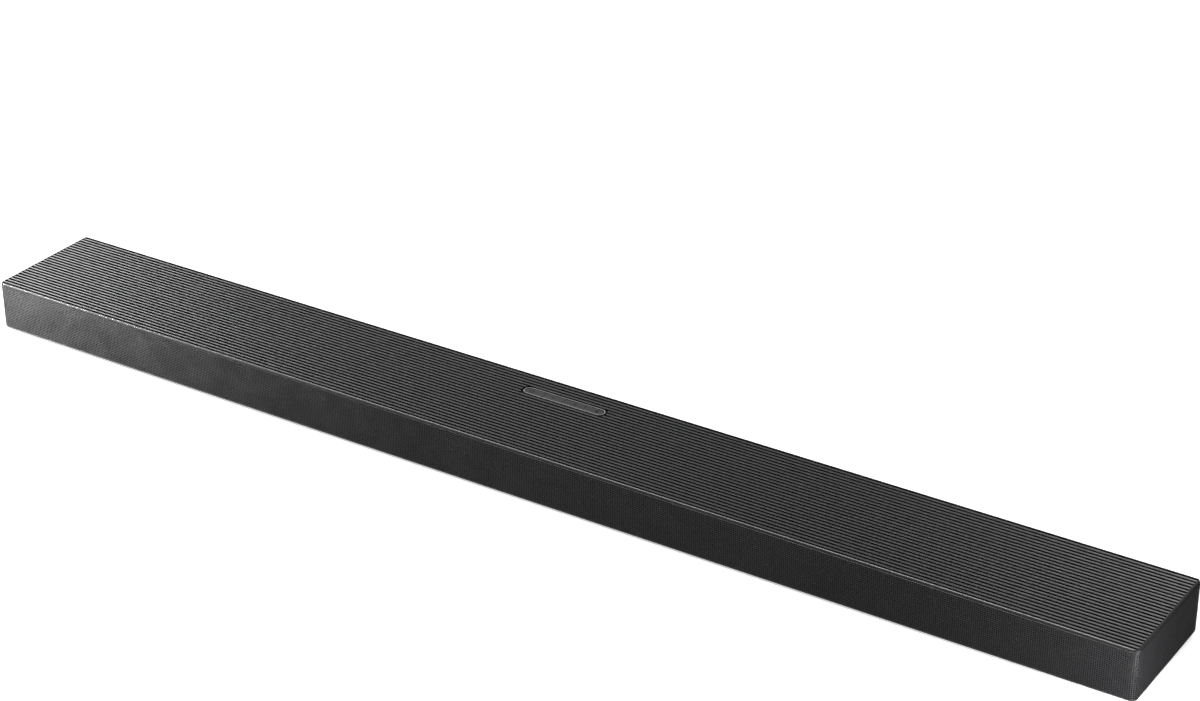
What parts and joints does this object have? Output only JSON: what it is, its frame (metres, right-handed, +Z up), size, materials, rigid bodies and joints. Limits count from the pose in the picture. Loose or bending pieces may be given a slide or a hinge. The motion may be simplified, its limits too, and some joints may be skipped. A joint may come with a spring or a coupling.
{
  "type": "soundbar",
  "caption": "Long slim soundbar with a ribbed top, wrap-round perforated grille, a pill-shaped strip of keys and a rear connector bay.",
  "frame": {"origin": "centre of the footprint, on the surface that the feet stand on", "axes": "+X along the length, towards the right end as the listener sees it; the front faces -Y; +Z up"},
  "size_m": [1.16, 0.12, 0.05],
  "materials": {
    "ribbed_plastic": "satin moulded ABS with fine grain",
    "grille_metal": "perforated steel with a satin powder coat",
    "scrim_cloth": "thin black acoustic cloth",
    "inner_plastic": "matte moulded plastic",
    "case_plastic": "matte textured plastic",
    "foot_rubber": "matte rubber",
    "screw_steel": "zinc-plated steel",
    "insert_brass": "knurled brass",
    "plate_plastic": "fine-textured plastic",
    "socket_plastic": "moulded nylon",
    "socket_steel": "nickel-plated shell",
    "shutter_plastic": "moulded plastic",
    "circuit_board": "solder mask with tinned pads",
    "chip_plastic": "matte epoxy",
    "sink_aluminium": "extruded, satin",
    "ribbon_plastic": "flat flexible lead",
    "transformer_tape": "wound tape",
    "capacitor_sleeve": "shrink sleeve",
    "bezel_plastic": "satin plastic rim",
    "key_plastic": "satin plastic",
    "plunger_plastic": "moulded plastic",
    "can_steel": "stamped can",
    "smoked_window": "smoked, polished",
    "gasket_rubber": "foam rubber",
    "basket_steel": "pressed steel, black",
    "magnet_ferrite": "ferrite and plated steel",
    "surround_rubber": "moulded butyl rubber",
    "cone_fibre": "pressed fibre pulp",
    "dome_foil": "drawn foil",
    "lead_sleeve": "braided sleeve"
  },
  "bodies": {
    "housing": {"top_cover": "ribbed_plastic", "front_grille": "grille_metal", "grille_scrim": "scrim_cloth", "front_baffle": "inner_plastic", "bottom_chassis": "case_plastic", "rear_panel": "case_plastic", "end_plate_left": "inner_plastic", "end_plate_right": "inner_plastic", "rubber_feet": "foot_rubber", "case_screws": "screw_steel", "mount_inserts": "insert_brass", "io_plate": "plate_plastic", "power_inlet": "socket_plastic", "hdmi_sockets": "socket_steel", "usb_socket": "socket_steel", "optical_socket": "socket_plastic", "main_board": "circuit_board", "board_chips": "chip_plastic", "heat_sink": "sink_aluminium", "ribbon_cable": "ribbon_plastic", "wireless_module": "circuit_board", "power_board": "circuit_board", "power_transformer": "transformer_tape", "power_capacitors": "capacitor_sleeve", "control_bezel": "bezel_plastic", "control_board": "circuit_board", "tact_switches": "chip_plastic", "microphones": "can_steel", "display_board": "circuit_board", "display_window": "smoked_window", "driver_gaskets": "gasket_rubber", "woofer_baskets": "basket_steel", "woofer_magnets": "magnet_ferrite", "woofer_surrounds": "surround_rubber", "tweeter_plates": "inner_plastic", "tweeter_magnets": "magnet_ferrite", "upfire_funnels": "inner_plastic", "upfire_baskets": "basket_steel", "upfire_magnets": "magnet_ferrite", "upfire_surrounds": "surround_rubber", "driver_screws": "screw_steel", "speaker_harness": "lead_sleeve"},
    "key_power": {"key_power": "key_plastic", "plunger_power": "plunger_plastic"},
    "key_minus": {"key_minus": "key_plastic", "plunger_minus": "plunger_plastic"},
    "key_plus": {"key_plus": "key_plastic", "plunger_plus": "plunger_plastic"},
    "key_mic": {"key_mic": "key_plastic", "plunger_mic": "plunger_plastic"},
    "optical_shutter": {"optical_shutter": "shutter_plastic"},
    "woofer_cone_1": {"woofer_cone_1": "cone_fibre"},
    "woofer_cone_2": {"woofer_cone_2": "cone_fibre"},
    "woofer_cone_3": {"woofer_cone_3": "cone_fibre"},
    "woofer_cone_4": {"woofer_cone_4": "cone_fibre"},
    "tweeter_dome_left": {"tweeter_dome_left": "dome_foil"},
    "tweeter_dome_centre": {"tweeter_dome_centre": "dome_foil"},
    "tweeter_dome_right": {"tweeter_dome_right": "dome_foil"},
    "upfire_cone_left": {"upfire_cone_left": "cone_fibre"},
    "upfire_cone_right": {"upfire_cone_right": "cone_fibre"}
  },
  "joints": [
    {"name": "power_key_press", "type": "slide", "parent": "housing", "child": "key_power", "axis": [0, 0, -1], "range_m": [0, 0.0004], "stiffness_N_per_m": 900},
    {"name": "minus_key_press", "type": "slide", "parent": "housing", "child": "key_minus", "axis": [0, 0, -1], "range_m": [0, 0.0004], "stiffness_N_per_m": 900},
    {"name": "plus_key_press", "type": "slide", "parent": "housing", "child": "key_plus", "axis": [0, 0, -1], "range_m": [0, 0.0004], "stiffness_N_per_m": 900},
    {"name": "mic_key_press", "type": "slide", "parent": "housing", "child": "key_mic", "axis": [0, 0, -1], "range_m": [0, 0.0004], "stiffness_N_per_m": 900},
    {"name": "optical_shutter_hinge", "type": "hinge", "parent": "housing", "child": "optical_shutter", "pos_m": [-0.07, 0.0176, 0.0204], "axis": [-1, 0, 0], "range_deg": [0, 80], "stiffness_Nm_per_rad": 0.0004, "springref_deg": -11.46},
    {"name": "woofer_1_excursion", "type": "slide", "parent": "housing", "child": "woofer_cone_1", "axis": [0, -1, 0], "range_m": [-0.003, 0.003], "stiffness_N_per_m": 1000, "deforming": ["woofer_surrounds"]},
    {"name": "woofer_2_excursion", "type": "slide", "parent": "housing", "child": "woofer_cone_2", "axis": [0, -1, 0], "range_m": [-0.003, 0.003], "stiffness_N_per_m": 1000, "deforming": ["woofer_surrounds"]},
    {"name": "woofer_3_excursion", "type": "slide", "parent": "housing", "child": "woofer_cone_3", "axis": [0, -1, 0], "range_m": [-0.003, 0.003], "stiffness_N_per_m": 1000, "deforming": ["woofer_surrounds"]},
    {"name": "woofer_4_excursion", "type": "slide", "parent": "housing", "child": "woofer_cone_4", "axis": [0, -1, 0], "range_m": [-0.003, 0.003], "stiffness_N_per_m": 1000, "deforming": ["woofer_surrounds"]},
    {"name": "tweeter_left_excursion", "type": "slide", "parent": "housing", "child": "tweeter_dome_left", "axis": [0, -1, 0], "range_m": [-0.0003, 0.0003], "stiffness_N_per_m": 1500},
    {"name": "tweeter_centre_excursion", "type": "slide", "parent": "housing", "child": "tweeter_dome_centre", "axis": [0, -1, 0], "range_m": [-0.0003, 0.0003], "stiffness_N_per_m": 1500},
    {"name": "tweeter_right_excursion", "type": "slide", "parent": "housing", "child": "tweeter_dome_right", "axis": [0, -1, 0], "range_m": [-0.0003, 0.0003], "stiffness_N_per_m": 1500},
    {"name": "upfire_left_excursion", "type": "slide", "parent": "housing", "child": "upfire_cone_left", "axis": [0, -0.1736, 0.9848], "range_m": [-0.002, 0.002], "stiffness_N_per_m": 1200, "deforming": ["upfire_surrounds"]},
    {"name": "upfire_right_excursion", "type": "slide", "parent": "housing", "child": "upfire_cone_right", "axis": [0, -0.1736, 0.9848], "range_m": [-0.002, 0.002], "stiffness_N_per_m": 1200, "deforming": ["upfire_surrounds"]}
  ]
}
